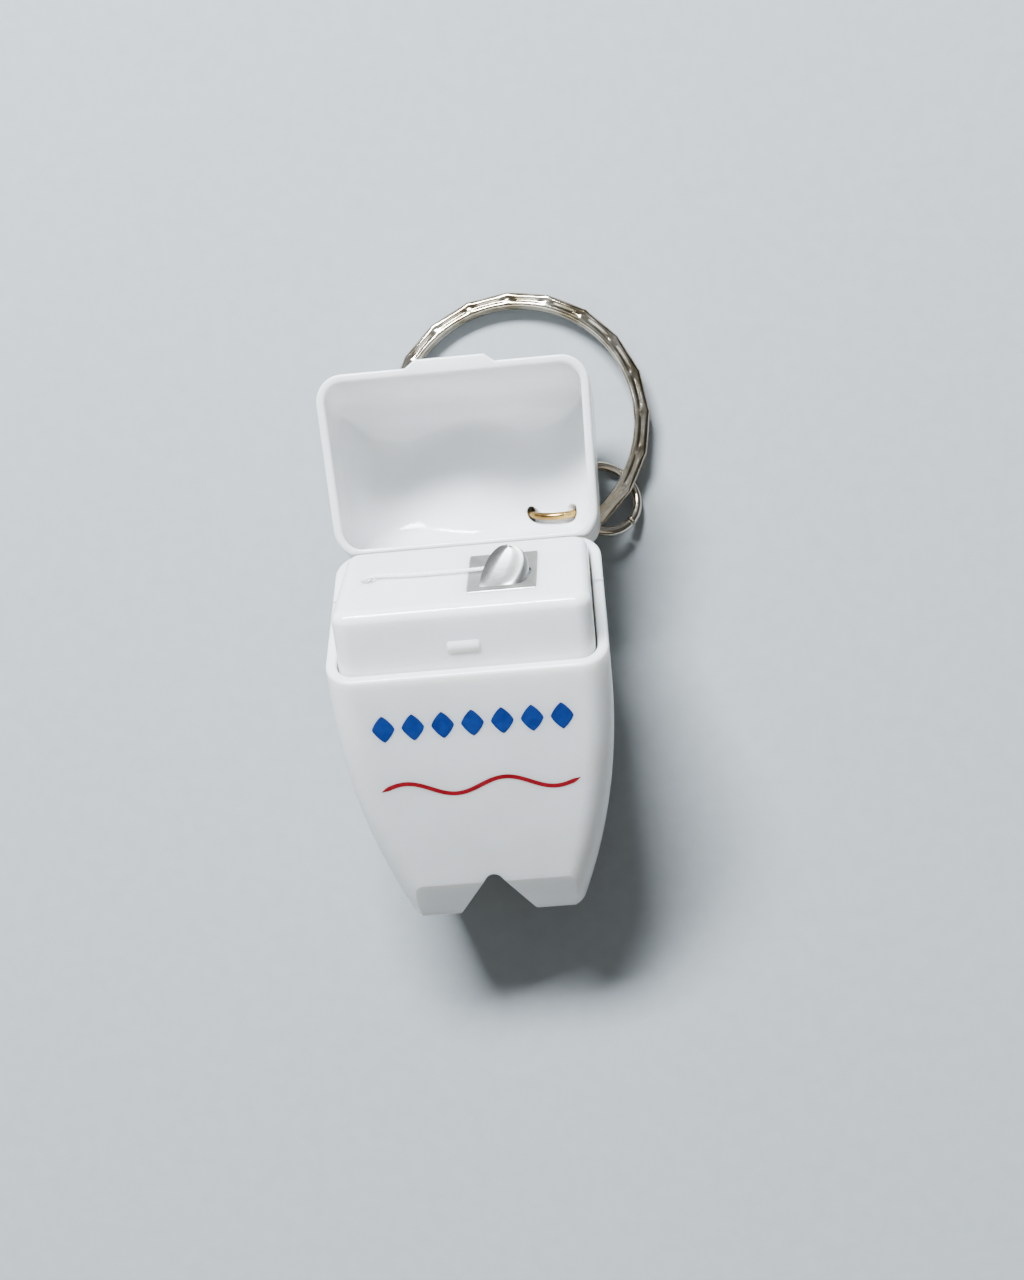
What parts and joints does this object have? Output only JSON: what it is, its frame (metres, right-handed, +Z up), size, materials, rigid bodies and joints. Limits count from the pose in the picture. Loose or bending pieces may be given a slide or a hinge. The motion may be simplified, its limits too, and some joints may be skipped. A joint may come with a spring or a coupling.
{
  "type": "dental floss dispenser",
  "caption": "Tooth-shaped floss dispenser with a flip-up crown lid on a living hinge, a steel cutter, an inner floss spool and a key ring on two links.",
  "frame": {"origin": "centre of the bounding box's foot, on the surface that the object lies on", "axes": "+Z up from the table, +X to the tooth's right as seen from its printed face, +Y from the root tips to the open lid"},
  "size_m": [0.0372, 0.0728, 0.0338],
  "materials": {
    "body_plastic": "glossy",
    "lid_plastic": "glossy",
    "insert_plastic": "glossy",
    "cutter_steel": "stamped sheet",
    "spool_plastic": "moulded",
    "floss": "waxed thread",
    "ring_brass": "bright wire",
    "ring_nickel": "plated, stamped facets"
  },
  "bodies": {
    "body": {"front_shell": "body_plastic", "rear_shell": "body_plastic", "floss_insert": "insert_plastic", "cutter_plate": "cutter_steel", "floss_strand": "floss", "living_hinge": "lid_plastic"},
    "lid": {"lid": "lid_plastic"},
    "spool": {"spool": "spool_plastic", "floss_winding": "floss"},
    "jump_ring": {"jump_ring": "ring_brass"},
    "link_ring": {"link_ring": "ring_nickel"},
    "split_ring": {"split_ring": "ring_nickel"}
  },
  "joints": [
    {"name": "lid_hinge", "type": "hinge", "parent": "body", "child": "lid", "pos_m": [-0.00318, 0.00543, 0.01778], "axis": [-1, 0, 0], "range_deg": [-122, 18], "deforming": ["living_hinge"]},
    {"name": "spool_spin", "type": "hinge", "parent": "body", "child": "spool", "pos_m": [-0.00318, -0.01746, 0.01667], "axis": [0, -0.454, 0.891], "continuous": true},
    {"name": "jump_ring_swing", "type": "hinge", "parent": "lid", "child": "jump_ring", "pos_m": [0.00682, 0.00909, 0.00577], "axis": [1, 0, 0], "range_deg": [-25, 0]},
    {"name": "link_swing", "type": "hinge", "parent": "jump_ring", "child": "link_ring", "pos_m": [0.01012, 0.00922, 0.00539], "axis": [0, 0, 1], "range_deg": [-24, 20]},
    {"name": "split_ring_turn", "type": "hinge", "parent": "link_ring", "child": "split_ring", "pos_m": [0.00258, 0.02039, 0.00181], "axis": [-0.0359, 0.0372, 0.9987], "continuous": true}
  ]
}
